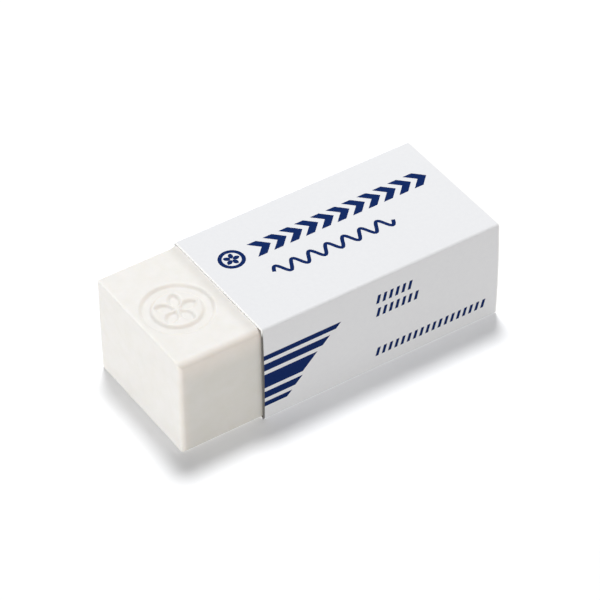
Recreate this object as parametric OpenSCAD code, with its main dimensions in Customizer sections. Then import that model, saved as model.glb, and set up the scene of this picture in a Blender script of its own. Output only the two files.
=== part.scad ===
// Block eraser in a folded card sleeve, lying on the sleeve's underside.
// X runs along the block from its bare end, Y to the back, Z up, in millimetres.

/* [Block] */
// Length of the vinyl block
block_l = 42.4; // [30:0.1:70]
// Width of the block
block_w = 17.5; // [14:0.1:30]
// Height of the block
block_h = 13.1; // [9:0.1:20]
// Rounding of the two long edges of the top
top_edge_r = 0.85; // [0.1:0.05:1.5]
// Rounding of the two long edges of the foot
foot_edge_r = 0.35; // [0.1:0.05:1.5]
// Rounding of the four upright edges
upright_edge_r = 0.6; // [0.1:0.05:1.5]
// Rounding of the edges along the top and foot of each end
end_edge_r = 0.2; // [0.1:0.05:1]

/* [Pressed mark] */
// Outer diameter of the mark's ring
mark_d = 8.2; // [7:0.1:9]
// Width of the ring
mark_ring = 1.2; // [0.5:0.05:1.4]
// Number of petals inside the ring
petals = 5; // [4:1:8]
// Width of a petal at its middle
petal_w = 1.3; // [0.6:0.05:1.5]
// Gap from each end of a petal to the ring and to the mark's middle
petal_gap = 0.4; // [0.2:0.05:0.6]
// Depth that the mark is pressed in
mark_depth = 0.35; // [0.1:0.05:0.6]
// Distance from the bare end to the mark's middle
mark_from_end = 4.9; // [4.8:0.1:8]
// Distance of the mark's middle in front of the block's middle
mark_forward = 0.6; // [0:0.1:2]

/* [Sleeve] */
// Length of the block that the sleeve leaves bare
bare_l = 10.5; // [8:0.1:20]
// How far the sleeve reaches past the covered end of the block
sleeve_lip = 0.2; // [0:0.05:1]
// Thickness of the card
card_t = 0.2; // [0.12:0.01:0.4]
// Inside radius of the card's folds
fold_r = 0.15; // [0.08:0.01:0.4]
// Angle by which the front panel leans out at its two folds, so that it bows
front_lean = 2.2; // [0.5:0.1:4]
// Length of the front panel's flat strip beside each of those folds
front_flat = 0.5; // [0.2:0.1:2]

/* [Glued seam] */
// Distance from the inside of the top panel down to the free edge of the glue flap
flap_from_top = 4.6; // [3:0.1:6]
// Gap between the flap's free edge and the step in the back panel that clears it
flap_clear = 0.15; // [0.05:0.05:0.5]
// Slope of the step in the back panel
step_slope = 12; // [8:1:25]
// Radius of the two bends of that step
step_r = 0.5; // [0.2:0.1:1]
// Height of the back panel's cut edge above the underside
seam_lift = 0.08; // [0.02:0.01:0.15]
// Thickness of the glue between the flap and the back panel
glue_t = 0.02; // [0.01:0.005:0.05]

/* [Fit] */
// Clearance between block and card above, below and behind
snug_gap = 0.02; // [0.01:0.01:0.2]
// Clearance in front, because the block lies against the flap behind it
front_gap = 0.15; // [0.05:0.01:0.4]

/* [Hidden] */
vinyl_white = "#f3f1ec";
card_white = "#e9eaed";

// Clear space inside the sleeve, across and upright
inner_w = block_w + snug_gap + front_gap;
inner_h = block_h + 2 * snug_gap;

// Length of the sleeve, and of the whole eraser
sleeve_l = block_l + sleeve_lip - bare_l;
total_l = bare_l + sleeve_l;

// The front panel is an arc between two flat strips, and bows out by bow_out
front_fold = 90 - front_lean;
front_h = inner_h - 2 * fold_r * (1 - cos(front_fold));
bow_r = (front_h - 2 * front_flat * cos(front_lean)) / (2 * sin(front_lean));
bow_out = front_flat * sin(front_lean) + bow_r * (1 - cos(front_lean));

// The step moves the back panel out over the flap and its glue
step_out = card_t + glue_t;
step_arcs = card_t + 2 * step_r;
step_run = (step_out - step_arcs * (1 - cos(step_slope))) / sin(step_slope);
step_down = step_arcs * sin(step_slope) + step_run * cos(step_slope);

// Straight lengths of the card between its bends
flap_run = inner_h - flap_from_top - fold_r;
across_run = inner_w - fold_r - fold_r * sin(front_fold);
back_upper_run = flap_from_top - flap_clear - step_down - fold_r;
back_lower_run = flap_clear + inner_h - flap_from_top + card_t - seam_lift;

// The card from the flap's free edge onwards: [straight length, turn to the right, bend radius]
CARD = [
    [flap_run, 90, fold_r],
    [across_run, front_fold, fold_r],
    [front_flat, 2 * front_lean, bow_r],
    [front_flat, front_fold, fold_r],
    [across_run, 90, fold_r],
    [back_upper_run, -step_slope, step_r],
    [step_run, step_slope, step_r],
    [back_lower_run, 0, 0]
];

// Number of chords in a bend
function chords(turn) = max(6, ceil(abs(turn) / 10));

// One stretch as legs along the card's inner face: [length, turn after it]
function legs(run, turn, r) =
    let (n = chords(turn), path_r = turn > 0 ? r : r + card_t)
    turn == 0 ? [[run, 0]] : concat(
        [[run, turn / n / 2]],
        [for (i = [1:n]) [2 * path_r * sin(abs(turn) / n / 2), turn / (i < n ? n : 2 * n)]]
    );

// All legs in order, and the corners between them: [place, mean heading there, half the turn]
LEGS = [for (stretch = CARD) each legs(stretch[0], stretch[1], stretch[2])];
CORNERS = [
    for (
        i = 0, place = [0, 0], heading = -90, turn = 0;
        i <= len(LEGS);
        place = i < len(LEGS) ? place + LEGS[i][0] * [cos(heading), sin(heading)] : place,
        turn = i < len(LEGS) ? LEGS[i][1] : 0,
        heading = heading - turn,
        i = i + 1
    )
    [place, heading + turn / 2, turn / 2]
];

// Places: the middle of the outline is over the origin, and the underside is at zero
front_reach = block_w / 2 + front_gap + bow_out + card_t;
back_reach = block_w / 2 + snug_gap + card_t + step_out;
block_y = (front_reach - back_reach) / 2;
block_z = card_t + snug_gap;
bare_end_x = -total_l / 2;
sleeve_x = bare_end_x + bare_l;

// Extra length by which a cutter passes the surface that it cuts
cut_past = 1;

// Rectangle about the origin whose corners are rounded by r above and by low_r below
module rounded_rect(l, w, r, low_r) {
    difference() {
        square([l, w], center = true);
        for (side = [-1, 1]) {
            translate([side * l / 2, w / 2]) mirror([side > 0 ? 1 : 0, 0]) mirror([0, 1]) spandrel(r);
            translate([side * l / 2, -w / 2]) mirror([side > 0 ? 1 : 0, 0]) spandrel(low_r);
        }
    }
}

// What a rounding of radius r takes off a square corner at the origin
module spandrel(r) {
    difference() {
        translate([-cut_past, -cut_past]) square(r + cut_past);
        translate([r, r]) circle(r = r, $fn = 48);
    }
}

// Pointed oval between two arcs, l long and w wide, starting at the origin along X
module petal(l, w) {
    arc_r = (l * l / w + w) / 4;
    intersection_for(side = [-1, 1])
        translate([l / 2, side * (arc_r - w / 2)])
            circle(r = arc_r, $fn = 96);
}

// Flower of arcs in a ring, with the block's top at zero
module pressed_mark() {
    petal_l = mark_d / 2 - mark_ring - 2 * petal_gap;
    translate([0, 0, -mark_depth])
    linear_extrude(mark_depth + cut_past) {
        difference() {
            circle(d = mark_d, $fn = 96);
            circle(d = mark_d - 2 * mark_ring, $fn = 96);
        }
        for (i = [0:petals - 1])
            rotate(360 * i / petals)
                translate([petal_gap, 0])
                    petal(petal_l, petal_w);
    }
}

module eraser_block() {
    color(vinyl_white)
    translate([bare_end_x + block_l / 2, block_y, block_z + block_h / 2])
    difference() {
        intersection() {
            linear_extrude(block_h, center = true)
                rounded_rect(block_l, block_w, upright_edge_r, upright_edge_r);
            rotate([90, 0, 0])
                linear_extrude(block_w + cut_past, center = true)
                    rounded_rect(block_l, block_h, end_edge_r, end_edge_r);
            rotate([90, 0, 90])
                linear_extrude(block_l + cut_past, center = true)
                    rounded_rect(block_w, block_h, top_edge_r, foot_edge_r);
        }
        translate([mark_from_end - block_l / 2, -mark_forward, block_h / 2])
            pressed_mark();
    }
}

// Cut end of the folded card: its inner face, then back along its outer face
module card_section() {
    polygon([
        for (c = CORNERS) c[0],
        for (i = [len(CORNERS) - 1:-1:0])
            let (c = CORNERS[i])
            c[0] + card_t / cos(c[2]) * [-sin(c[1]), cos(c[1])]
    ]);
}

module card_sleeve() {
    color(card_white)
    translate([sleeve_x, block_y + block_w / 2 + snug_gap, card_t + inner_h - flap_from_top])
    rotate([90, 0, 90])
    linear_extrude(sleeve_l)
        card_section();
}

eraser_block();
card_sleeve();
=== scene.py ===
"""Block eraser in a folded card sleeve: finishes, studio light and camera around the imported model."""
import bisect
import math

import bpy
import numpy as np
from mathutils import Matrix, Vector, geometry


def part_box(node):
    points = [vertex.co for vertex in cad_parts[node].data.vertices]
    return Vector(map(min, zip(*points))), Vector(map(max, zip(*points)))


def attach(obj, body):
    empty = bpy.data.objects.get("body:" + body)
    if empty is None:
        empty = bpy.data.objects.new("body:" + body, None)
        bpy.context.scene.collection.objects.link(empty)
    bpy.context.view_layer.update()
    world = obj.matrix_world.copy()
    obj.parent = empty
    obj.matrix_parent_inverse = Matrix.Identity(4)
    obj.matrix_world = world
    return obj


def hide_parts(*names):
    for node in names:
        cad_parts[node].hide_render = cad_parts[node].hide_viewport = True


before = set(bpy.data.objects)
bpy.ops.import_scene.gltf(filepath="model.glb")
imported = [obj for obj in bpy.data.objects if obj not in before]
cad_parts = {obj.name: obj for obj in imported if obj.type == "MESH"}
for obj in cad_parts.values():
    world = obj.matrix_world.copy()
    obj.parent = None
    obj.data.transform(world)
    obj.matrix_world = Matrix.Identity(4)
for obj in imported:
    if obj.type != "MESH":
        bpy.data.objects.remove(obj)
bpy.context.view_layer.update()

MM = 0.001
BLOCK_LOW, BLOCK_HIGH = (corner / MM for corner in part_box("eraser_block"))
SLEEVE_LOW, SLEEVE_HIGH = (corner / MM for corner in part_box("card_sleeve"))

# Sizes are in millimetres and angles in degrees, where no comment says otherwise.
# Those of the block, the mark and the card are the ones in the part's source.

# Block
TOP_EDGE_R = 0.85
FOOT_EDGE_R = 0.35
UPRIGHT_EDGE_R = 0.6
END_EDGE_R = 0.2
# The rear top edge is drawn a little sharper than the solid's, as it is in the photograph
REAR_TOP_EDGE_R = 0.7
# Where the card's fold holds that edge it is sharper still, and it grows round over HELD_OVER
# beside the sleeve
HELD_EDGE_R = 0.3
HELD_OVER = 0.8
# Widths of the mesh's steps on the flat faces and on the mark, and the number of steps in half
# a rounded edge
FACE_STEP = 0.9
MARK_STEP = 0.1
BEND_STEPS = 8
# Number of halvings that find where the rounded block begins
HALVINGS = 30

# Pressed mark, a ring round a flower, placed from the bare end and the block's middle
MARK_D = 8.2
MARK_RING = 1.2
PETALS = 5
PETAL_W = 1.3
PETAL_GAP = 0.4
MARK_DEPTH = 0.35
MARK_FROM_END = 4.9
MARK_FORWARD = 0.6
# Width of the mark's sloping walls, which the moulding leaves soft
MARK_WALL = 0.55

# Folded card
CARD_T = 0.2
FOLD_R = 0.15
FRONT_LEAN = 2.2
FRONT_FLAT = 0.5
FLAP_FROM_TOP = 4.6
FLAP_CLEAR = 0.15
STEP_SLOPE = 12.0
STEP_R = 0.5
SEAM_LIFT = 0.08
GLUE_T = 0.02
SNUG_GAP = 0.02
FRONT_GAP = 0.15
# The inside of the card is drawn this much nearer the block, or the gap shows as a dark line along the top
INSIDE_NEARER = 0.015
# Width of the strip along each cut end where the coat is bruised and shows the raw fibres
BRUISE_W = 0.12
# Steps in the mesh: round a fold, round a bend of less than SHARP_TURN, and along the sleeve
FOLD_STEPS = 12
BOW_STEPS = 8
SHARP_TURN = 20
SLEEVE_COLUMNS = 14
# Tolerances on the blank: nearer than SAME_POINT, points are one; nearer than SAME_PLACE, they are in line
SAME_POINT = 1e-5
SAME_PLACE = 1e-4
# Material slots of the card
COATED, INKED, UNCOATED, CUT = range(4)

# Painted shade on the vinyl's long sides, and a painted glow of light beside their bright edges, which
# reaches down from the top and along from the bare end, where it is weaker
SIDE_SHADE_TINT = "#eeeeec"
PAINTED_GLOW_TINT = "#fffaf6"
GLOW_DOWN = 4.0
GLOW_ALONG = 1.6
GLOW_FULL = 0.3
END_GLOW = 0.45
# Painted shade on the top on both sides of the sleeve's edge, and on the card's cut edge in the gap in front
SLEEVE_EDGE_SHADE_TINT = "#edeceb"
SLEEVE_EDGE_SHADE_REACH = 2.0
GAP_SHADE_TINT = "#3b3630"

# Lamps stand LIGHT_FAR metres away. A level is what the lamp adds to a white surface that faces it.
WORLD_LEVEL = 0.3
LIGHT_FAR = 0.6
KEY_DIRECTION = (0.15, 0.265, 1.0)
KEY_SPREAD = 0.125
KEY_LEVEL = 0.715
LEFT_DIRECTION = (-1.0, -0.1, 0.05)
LEFT_SPREAD = 0.1
LEFT_LEVEL = 0.445
FRONT_DIRECTION = (-0.2, -1.0, 0.08)
FRONT_SPREAD = 0.3
FRONT_LEVEL = 0.25
FRONT_COLOUR = "#fff9f2"

# Floor, in metres. It lies a hair lower than the sleeve, so that the two are not in one plane,
# and fades to plain white between two distances from the object.
FLOOR_HALF = 3.0
FLOOR_Z = -0.01 * MM
FLOOR_SEEN = "#fcfdff"
FLOOR_LIFT = 0.06
FADE_START = 0.08
FADE_END = 0.5
FLOOR_BOUNCE = "#8c8c8c"
FLOOR_GLOW = 0.55

# Camera, fitted to the edges in the photograph: a focal length in pixels of the picture, the angles of view,
# and its place to the right of, above and away from the middle of the object
PICTURE_PIXELS = 600
FOCAL_PIXELS = 3305.1
SENSOR_W = 36.0
AZIMUTH = -33.013
ELEVATION = 41.465
ROLL = -0.768
MIDDLE_Z = 6.77
CAMERA_RIGHT = 0.119
CAMERA_ABOVE = -0.588
CAMERA_AWAY = 375.876


# Shader nodes

def linear(hex_colour):
    """Linear red, green, blue and alpha of an sRGB hex colour."""
    parts = [int(hex_colour[i:i + 2], 16) / 255 for i in (1, 3, 5)]
    return [c / 12.92 if c <= 0.04045 else ((c + 0.055) / 1.055) ** 2.4 for c in parts] + [1.0]


def join(node, links):
    """Links outputs to a node's inputs, by the inputs' names or numbers."""
    for name, output in links.items():
        node.id_data.links.new(output, node.inputs[name])


def add(nodes, kind, settings=None, links=None):
    """Adds a shader node, sets its own settings and its inputs' values, and links its inputs."""
    made = nodes.new("ShaderNode" + kind)
    for name, value in (settings or {}).items():
        if hasattr(made, str(name)):
            setattr(made, name, value)
        else:
            made.inputs[name].default_value = value
    join(made, links or {})
    return made


def new_material(name, surface):
    """A material whose surface shader has the given values; also its nodes and its coordinates in metres."""
    material = bpy.data.materials.new(name)
    material.use_nodes = True
    nodes = material.node_tree.nodes
    nodes.clear()
    place = add(nodes, "TexCoord").outputs["Object"]
    shader = add(nodes, "BsdfPrincipled", surface)
    add(nodes, "OutputMaterial", links={"Surface": shader.outputs["BSDF"]})
    return material, nodes, shader, place


def grained(nodes, place, size, detail, deep, pale, deep_at=0.0, pale_at=1.0):
    """Two close tones in lumps about size millimetres across: the colour, and the noise that mixes it."""
    lumps = add(nodes, "TexNoise", {
        "Scale": 1 / (size * MM), "Detail": detail, "Roughness": 0.55,
    }, {"Vector": place}).outputs["Fac"]
    share = add(nodes, "MapRange", {"From Min": deep_at, "From Max": pale_at}, {"Value": lumps})
    colour = add(nodes, "Mix", {"data_type": "RGBA", "A": linear(deep), "B": linear(pale)}, {
        "Factor": share.outputs["Result"],
    })
    return colour.outputs["Result"], lumps


# Vinyl

def vinyl_side_shade_and_glow(nodes, at):
    """Colour of the long sides: painted shade, cool, with painted warm light just below the top and beside
    the bare end.
    """
    near_top = add(nodes, "MapRange", {
        "interpolation_type": "SMOOTHSTEP",
        "From Min": (BLOCK_HIGH.z - GLOW_DOWN) * MM,
        "From Max": (BLOCK_HIGH.z - GLOW_FULL) * MM,
    }, {"Value": at.outputs["Z"]})
    near_end = add(nodes, "MapRange", {
        "interpolation_type": "SMOOTHSTEP",
        "From Min": (BLOCK_LOW.x + GLOW_ALONG) * MM,
        "From Max": (BLOCK_LOW.x + GLOW_FULL) * MM,
        "To Max": END_GLOW,
    }, {"Value": at.outputs["X"]})
    glow = add(nodes, "Math", {"operation": "MAXIMUM"}, {
        0: near_top.outputs["Result"], 1: near_end.outputs["Result"],
    })
    tint = add(nodes, "Mix", {
        "data_type": "RGBA", "A": linear(SIDE_SHADE_TINT), "B": linear(PAINTED_GLOW_TINT),
    }, {"Factor": glow.outputs["Value"]})
    return tint.outputs["Result"]


def vinyl_sleeve_edge_shade(nodes, at, facing):
    """Painted shade on the top beside the sleeve's edge: full along its usual place, and none beyond its
    reach.
    """
    from_edge = add(nodes, "Math", {"operation": "SUBTRACT", 1: SLEEVE_LOW.x * MM}, {0: at.outputs["X"]})
    apart = add(nodes, "Math", {"operation": "ABSOLUTE"}, {0: from_edge.outputs["Value"]})
    near = add(nodes, "MapRange", {
        "interpolation_type": "SMOOTHERSTEP", "From Min": SLEEVE_EDGE_SHADE_REACH * MM, "From Max": 0.0,
    }, {"Value": apart.outputs["Value"]})
    upwards = add(nodes, "Math", {"operation": "MAXIMUM", 1: 0.0}, {0: facing.outputs["Z"]})
    edge_shade_share = add(nodes, "Math", {"operation": "MULTIPLY"}, {
        0: near.outputs["Result"], 1: upwards.outputs["Value"],
    })
    return edge_shade_share.outputs["Value"]


def moulded_vinyl():
    """Moulded white vinyl: dense and slightly waxy, with faint mottling. Painted shade makes the long sides
    darker than the top and the ends, with a painted warm glow of light beside their bright edges, and
    painted shade lies on the top on both sides of the sleeve's edge."""
    material, nodes, shader, place = new_material("moulded_white_vinyl", {
        "IOR": 1.53,
        "Specular IOR Level": 0.3,
        "Subsurface Weight": 0.12,
        "Subsurface Radius": (1.0, 0.8, 0.55),
        "Subsurface Scale": 0.8 * MM,
    })
    at = add(nodes, "SeparateXYZ", links={"Vector": place})
    facing = add(nodes, "SeparateXYZ", links={"Vector": add(nodes, "TexCoord").outputs["Normal"]})
    white, mottle = grained(nodes, place, 1.6, 3.0, "#ebe9e4", "#efedea", 0.3, 0.7)

    sideways = add(nodes, "Math", {"operation": "ABSOLUTE"}, {0: facing.outputs["Y"]})
    side = add(nodes, "MapRange", {"interpolation_type": "SMOOTHSTEP"}, {"Value": sideways.outputs["Value"]})
    # Painted shade on the long sides, with a painted warm glow near the top and the bare end
    side_shaded = add(nodes, "Mix", {"data_type": "RGBA", "blend_type": "MULTIPLY"}, {
        "Factor": side.outputs["Result"], "A": white, "B": vinyl_side_shade_and_glow(nodes, at),
    })
    # Painted shade on the top beside the sleeve's edge
    shaded = add(nodes, "Mix", {"data_type": "RGBA", "blend_type": "MULTIPLY", "B": linear(SLEEVE_EDGE_SHADE_TINT)}, {
        "Factor": vinyl_sleeve_edge_shade(nodes, at, facing), "A": side_shaded.outputs["Result"],
    })

    rough = add(nodes, "MapRange", {"To Min": 0.5, "To Max": 0.62}, {"Value": mottle})
    fine = add(nodes, "TexNoise", {
        "Scale": 1 / (0.25 * MM), "Detail": 2.0, "Roughness": 0.55,
    }, {"Vector": place})
    bump = add(nodes, "Bump", {"Strength": 0.25, "Distance": 0.012 * MM}, {"Height": fine.outputs["Fac"]})
    join(shader, {
        "Base Color": shaded.outputs["Result"],
        "Roughness": rough.outputs["Result"],
        "Normal": bump.outputs["Normal"],
    })
    return material


# Card and ink

def coated_card():
    """Clay-coated white card: smooth and cool white, with a dull sheen and faint fibres under the coat."""
    material, nodes, shader, place = new_material("coated_white_card", {
        "IOR": 1.5, "Roughness": 0.45, "Specular IOR Level": 0.3,
    })
    white, fibres = grained(nodes, place, 0.5, 3.0, "#e4e5e8", "#e9eaec")
    bump = add(nodes, "Bump", {"Strength": 0.2, "Distance": 0.004 * MM}, {"Height": fibres})
    join(shader, {"Base Color": white, "Normal": bump.outputs["Normal"]})
    return material


def offset_ink():
    """Offset-printed navy ink: a thin dark film, slightly uneven, with less gloss than the card's coat."""
    material, nodes, shader, place = new_material("navy_offset_ink", {
        "IOR": 1.5, "Roughness": 0.4, "Specular IOR Level": 0.03,
    })
    navy, _ = grained(nodes, place, 0.3, 2.0, "#06215a", "#0a2961")
    join(shader, {"Base Color": navy})
    return material


def uncoated_card():
    """Uncoated side of the card: dull, greyish and fibrous."""
    material, nodes, shader, place = new_material("uncoated_card_back", {"IOR": 1.5, "Roughness": 0.8})
    grey, fibres = grained(nodes, place, 0.35, 4.0, "#8d867b", "#a19a8f")
    bump = add(nodes, "Bump", {"Strength": 0.4, "Distance": 0.01 * MM}, {"Height": fibres})
    join(shader, {"Base Color": grey, "Normal": bump.outputs["Normal"]})
    return material


def edge_gap_shade(nodes, place):
    """Where shade is painted on the cut edge: in front, below the fold, and only beside the bare end."""
    at = add(nodes, "SeparateXYZ", links={"Vector": place})
    in_front = add(nodes, "MapRange", {
        "From Min": (BLOCK_LOW.y + 0.15) * MM, "From Max": (BLOCK_LOW.y - 0.05) * MM,
    }, {"Value": at.outputs["Y"]})
    below_fold = add(nodes, "MapRange", {
        "From Min": (SLEEVE_HIGH.z - 0.3) * MM, "From Max": (SLEEVE_HIGH.z - 1.1) * MM,
    }, {"Value": at.outputs["Z"]})
    bare_end = add(nodes, "Math", {"operation": "LESS_THAN", 1: 0.0}, {0: at.outputs["X"]})
    gap = add(nodes, "Math", {"operation": "MULTIPLY"}, {
        0: in_front.outputs["Result"], 1: below_fold.outputs["Result"],
    })
    gap_shade_share = add(nodes, "Math", {"operation": "MULTIPLY"}, {
        0: gap.outputs["Value"], 1: bare_end.outputs["Value"],
    })
    return gap_shade_share.outputs["Value"]


def cut_card_edge():
    """Cut edge of the card: bright raw fibres, which make the light line along the top. In front, where the
    card stands off the block, painted shade darkens them."""
    material, nodes, shader, place = new_material("raw_cut_card_edge", {
        "IOR": 1.5, "Roughness": 0.9, "Sheen Weight": 0.6, "Sheen Roughness": 0.6,
    })
    white, _ = grained(nodes, place, 0.12, 3.0, "#fafaf8", "#ffffff")
    # Painted shade on the cut edge in the gap in front
    edge_shaded = add(nodes, "Mix", {"data_type": "RGBA", "B": linear(GAP_SHADE_TINT)}, {
        "Factor": edge_gap_shade(nodes, place), "A": white,
    })
    join(shader, {"Base Color": edge_shaded.outputs["Result"]})
    return material


def make_object(name, points, faces, materials, face_materials, loop_normals=None):
    """A mesh object from points in millimetres."""
    mesh = bpy.data.meshes.new(name)
    mesh.from_pydata([[c * MM for c in p] for p in points], [], faces)
    for material in materials:
        mesh.materials.append(material)
    mesh.polygons.foreach_set("material_index", face_materials)
    mesh.shade_smooth()
    if loop_normals is not None:
        mesh.normals_split_custom_set(loop_normals)
    mesh.update()
    made = bpy.data.objects.new(name, mesh)
    bpy.context.scene.collection.objects.link(made)
    return made


# Block

def axis_lines(low, high, bend, fine=None):
    """Places of the block's grid lines along one axis: close together at both ends, and between the
    fine limits."""
    middle = (low + high) / 2
    flat = (high - low) / 2 - bend
    places = list(np.linspace(-flat, flat, 1 + math.ceil(2 * flat / FACE_STEP)))
    for i in range(1, BEND_STEPS + 1):
        out = flat + bend * math.tan(math.pi / 4 * i / BEND_STEPS)
        places += [-out, out]
    if fine:
        first, last = fine[0] - middle, fine[1] - middle
        places = [x for x in places if x < first - MARK_STEP or x > last + MARK_STEP]
        places += list(np.linspace(first, last, 1 + math.ceil((last - first) / MARK_STEP)))
    return [middle + x for x in sorted(places)]


def rear_edge_radius(along):
    """Radius of the block's rear top edge, at a distance along X from the block's middle."""
    past_sleeve_edge = along + (BLOCK_LOW.x + BLOCK_HIGH.x) / 2 - SLEEVE_LOW.x
    held = min(1, max(0, 1 + past_sleeve_edge / HELD_OVER))
    return REAR_TOP_EDGE_R + (HELD_EDGE_R - REAR_TOP_EDGE_R) * held


def outside_block(point, half):
    """Distance by which a point is outside the rounded block, where its three rounded outlines meet."""
    far = -math.inf
    top_r = rear_edge_radius(point[0]) if point[1] > 0 else TOP_EDGE_R
    long_edge_r = top_r if point[2] > 0 else FOOT_EDGE_R
    for a, b, r in ((0, 1, UPRIGHT_EDGE_R), (0, 2, END_EDGE_R), (1, 2, long_edge_r)):
        past_a = abs(point[a]) - (half[a] - r)
        past_b = abs(point[b]) - (half[b] - r)
        far = max(far, math.hypot(max(past_a, 0), max(past_b, 0)) + min(max(past_a, past_b), 0) - r)
    return far


def on_block(point, middle, half, bend):
    """Moves a point of the square-edged box inwards onto the rounded block."""
    square = Vector(point) - middle
    core = Vector(max(bend - h, min(h - bend, c)) for c, h in zip(square, half))
    low, high = 0.0, 1.0
    for _ in range(HALVINGS):
        t = (low + high) / 2
        if outside_block(core.lerp(square, t), half) > 0:
            high = t
        else:
            low = t
    return middle + core.lerp(square, low)


def petal_arc_radius(length, width):
    """Radius of the two arcs that make a petal."""
    return (length * length / width + width) / 4


def pressed_depth(x, y):
    """Depth of the pressed mark, with its soft walls, at a place measured from the mark's middle."""
    ring = abs(math.hypot(x, y) - (MARK_D - MARK_RING) / 2) - MARK_RING / 2
    petal_l = MARK_D / 2 - MARK_RING - 2 * PETAL_GAP
    turn = 2 * math.pi / PETALS
    petal_at = turn * round(math.atan2(y, x) / turn)
    along = x * math.cos(petal_at) + y * math.sin(petal_at) - PETAL_GAP - petal_l / 2
    across = y * math.cos(petal_at) - x * math.sin(petal_at)
    arc_r = petal_arc_radius(petal_l, PETAL_W)
    petal = math.hypot(along, abs(across) + arc_r - PETAL_W / 2) - arc_r
    t = min(1, max(0, 0.5 - min(ring, petal) / MARK_WALL))
    return MARK_DEPTH * t * t * (3 - 2 * t)


def make_block(material):
    """The block as a grid laid over its box and drawn in onto the rounded edges and the pressed mark."""
    middle = (BLOCK_LOW + BLOCK_HIGH) / 2
    half = (BLOCK_HIGH - BLOCK_LOW) / 2
    bend = max(TOP_EDGE_R, UPRIGHT_EDGE_R)
    mark_x = BLOCK_LOW.x + MARK_FROM_END
    mark_y = middle.y - MARK_FORWARD
    reach = (MARK_D + MARK_WALL) / 2
    mark_start_x = max(mark_x - reach, BLOCK_LOW.x + bend)
    lines_x = axis_lines(BLOCK_LOW.x, BLOCK_HIGH.x, bend, (mark_start_x, mark_x + reach))
    grid = [
        sorted([*lines_x, SLEEVE_LOW.x - HELD_OVER, SLEEVE_LOW.x]),
        axis_lines(BLOCK_LOW.y, BLOCK_HIGH.y, bend, (mark_y - reach, mark_y + reach)),
        axis_lines(BLOCK_LOW.z, BLOCK_HIGH.z, bend),
    ]
    last = [len(lines) - 1 for lines in grid]
    number = {}
    points = []
    faces = []

    def corner(key):
        if key not in number:
            number[key] = len(points)
            point = on_block([grid[axis][i] for axis, i in enumerate(key)], middle, half, bend)
            if key[2] == last[2]:
                point.z -= pressed_depth(point.x - mark_x, point.y - mark_y)
            points.append(point)
        return number[key]

    for axis in range(3):
        a, b = (axis + 1) % 3, (axis + 2) % 3
        for end in (0, last[axis]):
            for i in range(last[a]):
                for j in range(last[b]):
                    corners = []
                    for di, dj in ((0, 0), (1, 0), (1, 1), (0, 1)):
                        key = [0, 0, 0]
                        key[axis], key[a], key[b] = end, i + di, j + dj
                        corners.append(corner(tuple(key)))
                    faces.append(corners if end else corners[::-1])
    return make_object("rubber_block", points, faces, [material], [0] * len(faces))


# Print, as closed outlines in millimetres

def shift(outline, x, y):
    return [(x + px, y + py) for px, py in outline]


def circle(radius, count=72):
    angles = np.linspace(0, 2 * math.pi, count, endpoint=False)
    return [(radius * math.cos(a), radius * math.sin(a)) for a in angles]


def petal_outline(length, width, count=8):
    """Pointed oval between two arcs, from the origin along X."""
    arc_r = petal_arc_radius(length, width)
    half_angle = math.asin(length / 2 / arc_r)
    side = [
        (length / 2 - arc_r * math.sin(a), arc_r * math.cos(a) - arc_r + width / 2)
        for a in np.linspace(half_angle, -half_angle, count, endpoint=False)
    ]
    return side + [(length - x, -y) for x, y in side]


def flower_emblem(x=-7.1, y=2.8, d=3.2, band=0.48, petal_w=0.6, gap=0.12, ring_gap=0.22):
    """A ring round a small flower. The gaps keep the petals clear of the flower's middle and of the ring."""
    outlines = [shift(circle(d / 2), x, y), shift(circle(d / 2 - band), x, y)]
    petal = petal_outline(d / 2 - band - ring_gap, petal_w)
    for i in range(PETALS):
        turn = Matrix.Rotation(2 * math.pi * i / PETALS, 2)
        turned = [turn @ Vector((px + gap, py)) for px, py in petal]
        outlines.append([(x + p.x, y + p.y) for p in turned])
    return outlines


def arrowheads(start=-4.4, pitch=2.14, count=11, base=1.48, tall=2.5, stroke=1.24):
    """A row of arrowheads that point along the sleeve."""
    outlines = []
    tip = tall / 2
    for i in range(count):
        x = start + i * pitch
        outlines.append([
            (x, base), (x + stroke, base), (x + stroke + tip, base + tip),
            (x + stroke, base + tall), (x, base + tall), (x + tip, base + tip),
        ])
    return outlines


def wavy_line(start=-4.3, end=11.8, middle=-1.65, height=0.8, pitch=2.3, half_w=0.23, count=140):
    """A sine wave drawn as a band: out along one side and back along the other."""
    outline = []
    places = np.linspace(start, end, count)
    for side in (1, -1):
        for x in places[::side]:
            phase = 2 * math.pi * (x - start) / pitch
            slope = height * 2 * math.pi / pitch * math.cos(phase)
            tilt = math.hypot(1, slope)
            outline.append((
                x - side * half_w * slope / tilt,
                middle + height * math.sin(phase) + side * half_w / tilt,
            ))
    return outline


def top_print():
    """Generic print of the top panel, in x and y."""
    return [*flower_emblem(), *arrowheads(), wavy_line()]


def slanted_bars(top=9.7, gap=0.55):
    """Bars that start at the sleeve's edge, from the top one down. Each has a thickness and a reach."""
    outlines = []
    left = SLEEVE_LOW.x
    for thick, reach in ((0.7, 10.4), (1.0, 8.9), (2.0, 7.2), (1.0, 5.2), (0.7, 3.8)):
        end = left + reach
        outlines.append([(left, top - thick), (end - thick, top - thick), (end, top), (left, top)])
        top -= thick + gap
    return outlines


def ticks(start, count, z, pitch=0.86, width=0.42, slant=0.3, tall=1.2):
    """A row of slanted ticks."""
    outlines = []
    for i in range(count):
        x = start + pitch * i
        outlines.append([(x, z), (x + width, z), (x + width + slant, z + tall), (x + slant, z + tall)])
    return outlines


def front_print():
    """Generic print of the front panel, in x and z."""
    return [*slanted_bars(), *ticks(4.3, 6, 9.9), *ticks(4.3, 7, 8.0), *ticks(4.3, 18, 2.0)]


# Sleeve

def heading_vector(degrees):
    return Vector((math.cos(math.radians(degrees)), math.sin(math.radians(degrees))))


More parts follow.
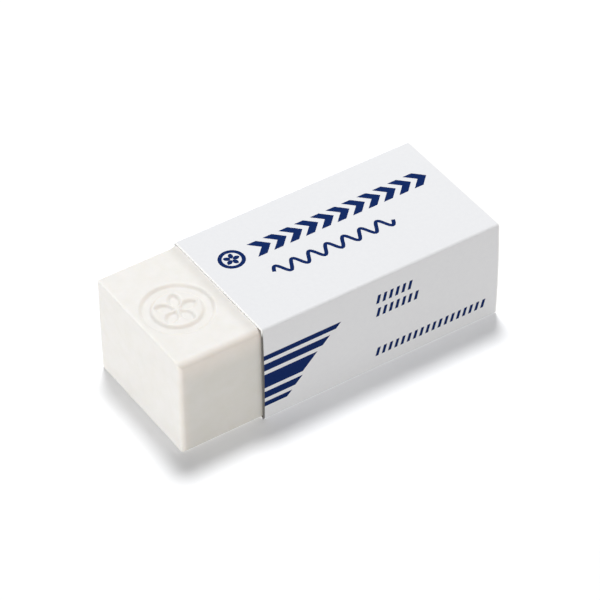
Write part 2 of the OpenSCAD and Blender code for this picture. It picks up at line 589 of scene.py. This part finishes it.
def card_path():
    """Walks along the card's inner face from the flap's free edge: the corners there, each with the
    heading."""
    inner_w = BLOCK_HIGH.y - BLOCK_LOW.y + SNUG_GAP + FRONT_GAP
    inner_h = SLEEVE_HIGH.z - SLEEVE_LOW.z - 2 * CARD_T
    front_fold = 90 - FRONT_LEAN
    front_h = inner_h - 2 * FOLD_R * (1 - math.cos(math.radians(front_fold)))
    lean = math.radians(FRONT_LEAN)
    bow_r = (front_h - 2 * FRONT_FLAT * math.cos(lean)) / (2 * math.sin(lean))
    slope = math.radians(STEP_SLOPE)
    step_arcs = CARD_T + 2 * STEP_R
    step_run = (CARD_T + GLUE_T - step_arcs * (1 - math.cos(slope))) / math.sin(slope)
    step_down = step_arcs * math.sin(slope) + step_run * math.cos(slope)
    across = inner_w - FOLD_R - FOLD_R * math.sin(math.radians(front_fold))
    stretches = [
        (inner_h - FLAP_FROM_TOP - FOLD_R, 90, FOLD_R),
        (across, front_fold, FOLD_R),
        (FRONT_FLAT, 2 * FRONT_LEAN, bow_r),
        (FRONT_FLAT, front_fold, FOLD_R),
        (across, 90, FOLD_R),
        (FLAP_FROM_TOP - FLAP_CLEAR - step_down - FOLD_R, -STEP_SLOPE, STEP_R),
        (step_run, STEP_SLOPE, STEP_R),
        (FLAP_CLEAR + inner_h - FLAP_FROM_TOP + CARD_T - SEAM_LIFT, 0, 0),
    ]
    place = Vector((0, 0))
    heading = -90.0
    path = [(place.copy(), heading)]
    for run, turn, r in stretches:
        place = place + run * heading_vector(heading)
        path.append((place.copy(), heading))
        steps = FOLD_STEPS if abs(turn) > SHARP_TURN else BOW_STEPS
        path_r = r if turn > 0 else r + CARD_T
        for _ in range(steps if turn else 0):
            step = turn / steps
            chord = 2 * path_r * math.sin(math.radians(abs(step)) / 2)
            place = place + chord * heading_vector(heading - step / 2)
            heading -= step
            path.append((place.copy(), heading))
    return path


class FoldedCard:
    """The flat blank and where it goes when it is folded. s runs across the folds, along the outer face."""

    def __init__(self):
        inner = []
        self.normal = []
        for place, heading in card_path():
            inner.append(place)
            self.normal.append(heading_vector(heading + 90))
        outer = [p + CARD_T * n for p, n in zip(inner, self.normal)]
        low_y = min(p.x for p in outer)
        low_z = min(p.y for p in outer)
        to_place = Vector((SLEEVE_LOW.y - low_y, SLEEVE_LOW.z - low_z))
        self.inner = [p + to_place - INSIDE_NEARER * n for p, n in zip(inner, self.normal)]
        self.outer = [p + to_place for p in outer]
        self.s = [0.0]
        for a, b in zip(self.outer, self.outer[1:]):
            self.s.append(self.s[-1] + max((b - a).length, SAME_PLACE))

    def at(self, s, line):
        """Place or direction at s on one of the card's lines."""
        i = min(max(bisect.bisect_right(self.s, s) - 1, 0), len(self.s) - 2)
        t = (s - self.s[i]) / (self.s[i + 1] - self.s[i])
        return line[i].lerp(line[i + 1], t)

    def outward(self, s):
        return self.at(s, self.normal).normalized()

    def find(self, test):
        """Number of the first corner whose outward direction passes the test."""
        return next(i for i, normal in enumerate(self.normal) if test(normal))


def print_on_blank(sheet):
    """The print laid on the flat blank, as closed outlines in x and s that run counter-clockwise."""
    # The top panel starts where the card first faces straight up, and the front panel where it first leans
    top = sheet.find(lambda n: n.y > 0.999999)
    front = sheet.find(lambda n: n.x < -0.99 and n.y < -0.01)
    outlines = []
    for outline in top_print():
        outlines.append([(x, sheet.s[top] + y - sheet.outer[top].x) for x, y in outline])
    for outline in front_print():
        outlines.append([(x, sheet.s[front] + z - sheet.outer[front].y) for x, z in outline])
    turned = []
    for outline in outlines:
        area = sum(a[0] * b[1] - a[1] * b[0] for a, b in zip(outline, outline[1:] + outline[:1]))
        turned.append(outline if area > 0 else outline[::-1])
    return turned


def outer_blank(sheet, columns):
    """The outer side of the blank, cut along folds, columns and print: its points, its triangles, and
    which of them are inked."""
    count = len(sheet.s)
    flat = []
    edges = []
    for c, column in enumerate(columns):
        flat += [Vector((column, s)) for s in sheet.s]
        edges += [(c * count + i, c * count + i + 1) for i in range(count - 1)]
        if c:
            edges += [((c - 1) * count + i, c * count + i) for i in range(count)]
    shapes = []
    for outline in print_on_blank(sheet):
        shapes.append(list(range(len(flat), len(flat) + len(outline))))
        flat += [Vector(p) for p in outline]
    points, _, triangles, _, _, sources = geometry.delaunay_2d_cdt(flat, edges, shapes, 1, SAME_POINT)
    return points, triangles, [len(covers) % 2 for covers in sources]


def inner_blank(sheet, ends, rims):
    """The inner side of the blank, cut along the folds between the points of its two rims."""
    flat = []
    edges = []
    for x, rim in zip(ends, rims):
        first = len(flat)
        flat += [Vector((x, s)) for s in rim]
        edges += [(first + i, first + i + 1) for i in range(len(rim) - 1)]
    for s in sheet.s:
        a, b = (bisect.bisect_left(rim, s - 2 * SAME_PLACE) for rim in rims)
        edges.append((a, len(rims[0]) + b))
    points, _, triangles, _, _, _ = geometry.delaunay_2d_cdt(flat, edges, [], 1, SAME_POINT)
    return points, triangles


class CardMesh:
    """Points and faces of the folded card; each face has a material slot and a direction at every corner."""

    def __init__(self, sheet):
        self.sheet = sheet
        self.points = []
        self.faces = []
        self.kinds = []
        self.normals = []
        self.number = {}

    def corner(self, x, s, line):
        """Number of the point at x and s on the outer or inner line, made when it is first asked for."""
        key = (round(x, 3), round(s, 3), line is self.sheet.outer)
        if key not in self.number:
            self.number[key] = len(self.points)
            at = self.sheet.at(s, line)
            self.points.append((x, at.x, at.y))
        return self.number[key]

    def face(self, corners, kind, directions, turned=False):
        """Adds a face, turned over if asked, unless its corners have fallen together."""
        if len(set(corners)) < 3:
            return
        way = -1 if turned else 1
        self.faces.append(corners[::way])
        self.kinds.append(kind)
        self.normals.extend(directions[::way])


def add_outside(mesh, ends, points, triangles, inked):
    """Coated and printed side. A narrow strip along each cut end is bruised, and shows the raw fibres."""
    sheet = mesh.sheet
    strip = 1.01 * BRUISE_W
    for triangle, is_inked in zip(triangles, inked):
        corners = [points[v] for v in triangle]
        kind = INKED if is_inked else COATED
        if max(p.x for p in corners) < ends[0] + strip or min(p.x for p in corners) > ends[1] - strip:
            kind = CUT
        outward = [sheet.outward(p.y) for p in corners]
        numbers = [mesh.corner(p.x, p.y, sheet.outer) for p in corners]
        mesh.face(numbers, kind, [(0, d.x, d.y) for d in outward])


def add_inside(mesh, points, triangles):
    """Uncoated side, which faces the block."""
    sheet = mesh.sheet
    for triangle in triangles:
        corners = [points[v] for v in triangle]
        outward = [sheet.outward(p.y) for p in corners]
        numbers = [mesh.corner(p.x, p.y, sheet.inner) for p in corners]
        mesh.face(numbers, UNCOATED, [(0, -d.x, -d.y) for d in outward], turned=True)


def add_cut_ends(mesh, ends, rims):
    """The two cut ends. A cut is crushed a little round at its outer corner, where it catches the light."""
    sheet = mesh.sheet
    for x, rim, way in zip(ends, rims, (-1, 1)):
        for a, b in zip(rim, rim[1:]):
            quad = [mesh.corner(x, s, sheet.outer) for s in (a, b)]
            quad += [mesh.corner(x, s, sheet.inner) for s in (b, a)]
            crushed = [(way, d.x, d.y) for d in (sheet.outward(a), sheet.outward(b))]
            mesh.face(quad, CUT, crushed + [(way, 0, 0)] * 2, turned=way > 0)


def add_free_edges(mesh, ends, columns):
    """The long edges of the flap and of the back panel."""
    sheet = mesh.sheet
    for s, end, before in ((sheet.s[0], 0, 1), (sheet.s[-1], -1, -2)):
        along = (sheet.inner[end] - sheet.inner[before]).normalized()
        corners = [mesh.corner(x, s, sheet.outer) for x in columns]
        corners += [mesh.corner(x, s, sheet.inner) for x in ends[::-1]]
        mesh.face(corners, CUT, [(0, along.x, along.y)] * len(corners), turned=end == 0)


def make_sleeve(card, ink, back, edge):
    """The card as a flat blank with its print, folded round the block, with its thickness and cut edges."""
    sheet = FoldedCard()
    mesh = CardMesh(sheet)
    x0, x1 = ends = (SLEEVE_LOW.x, SLEEVE_HIGH.x)
    columns = [x0, *np.linspace(x0 + BRUISE_W, x1 - BRUISE_W, SLEEVE_COLUMNS), x1]
    points, triangles, inked = outer_blank(sheet, columns)
    rims = [sorted({round(p.y, 5) for p in points if abs(p.x - x) < SAME_PLACE}) for x in ends]
    add_outside(mesh, ends, points, triangles, inked)
    add_inside(mesh, *inner_blank(sheet, ends, rims))
    add_cut_ends(mesh, ends, rims)
    add_free_edges(mesh, ends, columns)
    materials = [card, ink, back, edge]
    return make_object("folded_sleeve", mesh.points, mesh.faces, materials, mesh.kinds, mesh.normals)


# Studio

def soft_light(name, direction, spread, level, colour="#ffffff"):
    """A round soft light. spread is the tangent of the half angle that the object sees it under."""
    half = math.atan(spread)
    radius = LIGHT_FAR * spread
    light = bpy.data.lights.new(name, "AREA")
    light.shape = "DISK"
    light.size = 2 * radius
    light.energy = level / math.sin(half) ** 2 * math.pi ** 2 * radius ** 2
    light.color = linear(colour)[:3]
    holder = bpy.data.objects.new(name, light)
    towards = Vector(direction).normalized()
    holder.location = LIGHT_FAR * towards + Vector((0, 0, BLOCK_HIGH.z / 2 * MM))
    holder.rotation_euler = towards.to_track_quat("Z", "Y").to_euler()
    bpy.context.scene.collection.objects.link(holder)


def make_lights():
    """A soft light overhead that casts the shadow, and two low ones for the bare end and the front."""
    soft_light("overhead_softbox", KEY_DIRECTION, KEY_SPREAD, KEY_LEVEL)
    soft_light("left_card", LEFT_DIRECTION, LEFT_SPREAD, LEFT_LEVEL)
    soft_light("front_card", FRONT_DIRECTION, FRONT_SPREAD, FRONT_LEVEL, FRONT_COLOUR)


def background_rays(nodes):
    """1 for a ray that shows the background: from the camera, mirrored, or through something clear."""
    path = add(nodes, "LightPath")
    bent = add(nodes, "Math", {"operation": "MAXIMUM"}, {
        0: path.outputs["Is Glossy Ray"], 1: path.outputs["Is Transmission Ray"],
    })
    seen = add(nodes, "Math", {"operation": "MAXIMUM"}, {
        0: path.outputs["Is Camera Ray"], 1: bent.outputs["Value"],
    })
    return seen.outputs["Value"]


def make_world():
    """Even white surroundings: weak for the object, full white where the background is seen."""
    world = bpy.data.worlds.new("studio")
    bpy.context.scene.world = world
    world.use_nodes = True
    nodes = world.node_tree.nodes
    nodes.clear()
    even = add(nodes, "Background", {"Color": linear("#ffffff"), "Strength": WORLD_LEVEL})
    seen = add(nodes, "Background", {"Color": linear("#ffffff"), "Strength": 1.0})
    mix = add(nodes, "MixShader", links={
        "Fac": background_rays(nodes), 1: even.outputs["Background"], 2: seen.outputs["Background"],
    })
    add(nodes, "OutputWorld", links={"Surface": mix.outputs["Shader"]})


def glowing_paper(nodes, colour, strength):
    """Matt paper with a glow of its own: the shader, and the node that makes the glow."""
    paper = add(nodes, "BsdfDiffuse", {"Color": linear(colour)})
    glow = add(nodes, "Emission", {"Color": linear("#ffffff"), "Strength": strength})
    both = add(nodes, "AddShader", links={0: paper.outputs["BSDF"], 1: glow.outputs["Emission"]})
    return both.outputs["Shader"], glow


def floor_material():
    """Matt white paper. It is seen to fade to white; to the object it is an even glow from below."""
    material = bpy.data.materials.new("white_paper_floor")
    material.use_nodes = True
    nodes = material.node_tree.nodes
    nodes.clear()
    for_object, _ = glowing_paper(nodes, FLOOR_BOUNCE, FLOOR_GLOW)
    for_eye, seen_glow = glowing_paper(nodes, FLOOR_SEEN, FLOOR_LIFT)
    place = add(nodes, "TexCoord").outputs["Object"]
    away = add(nodes, "VectorMath", {"operation": "LENGTH"}, {0: place})
    fade = add(nodes, "MapRange", {
        "From Min": FADE_START, "From Max": FADE_END, "To Min": FLOOR_LIFT, "To Max": 1.0,
    }, {"Value": away.outputs["Value"]})
    join(seen_glow, {"Strength": fade.outputs["Result"]})
    mix = add(nodes, "MixShader", links={"Fac": background_rays(nodes), 1: for_object, 2: for_eye})
    add(nodes, "OutputMaterial", links={"Surface": mix.outputs["Shader"]})
    return material


def make_floor():
    mesh = bpy.data.meshes.new("floor")
    signs = ((-1, -1), (1, -1), (1, 1), (-1, 1))
    mesh.from_pydata([(x * FLOOR_HALF, y * FLOOR_HALF, FLOOR_Z) for x, y in signs], [], [(0, 1, 2, 3)])
    mesh.materials.append(floor_material())
    floor = bpy.data.objects.new("floor", mesh)
    bpy.context.scene.collection.objects.link(floor)


def make_camera():
    """The photograph's viewing angle."""
    data = bpy.data.cameras.new("camera")
    data.sensor_width = SENSOR_W
    data.lens = FOCAL_PIXELS / PICTURE_PIXELS * SENSOR_W
    data.clip_start = 0.01
    data.clip_end = 20.0
    camera = bpy.data.objects.new("camera", data)
    azimuth, elevation, roll = (math.radians(a) for a in (AZIMUTH, ELEVATION, ROLL))
    forward = Vector((
        -math.sin(azimuth) * math.cos(elevation),
        math.cos(azimuth) * math.cos(elevation),
        -math.sin(elevation),
    ))
    level = forward.cross(Vector((0, 0, 1))).normalized()
    upright = level.cross(forward)
    right = math.cos(roll) * level + math.sin(roll) * upright
    up = math.cos(roll) * upright - math.sin(roll) * level
    middle = Vector((0, 0, MIDDLE_Z))
    place = middle + CAMERA_RIGHT * right + CAMERA_ABOVE * up - CAMERA_AWAY * forward
    turn = Matrix((right, up, -forward)).transposed().to_4x4()
    camera.matrix_world = Matrix.Translation(place * MM) @ turn
    bpy.context.scene.collection.objects.link(camera)
    bpy.context.scene.camera = camera


make_camera()
make_world()
make_lights()
make_floor()

block = make_block(moulded_vinyl())
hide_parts("eraser_block")
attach(block, "block")

sleeve = make_sleeve(coated_card(), offset_ink(), uncoated_card(), cut_card_edge())
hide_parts("card_sleeve")
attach(sleeve, "sleeve")

bpy.context.scene.view_settings.view_transform = "Standard"
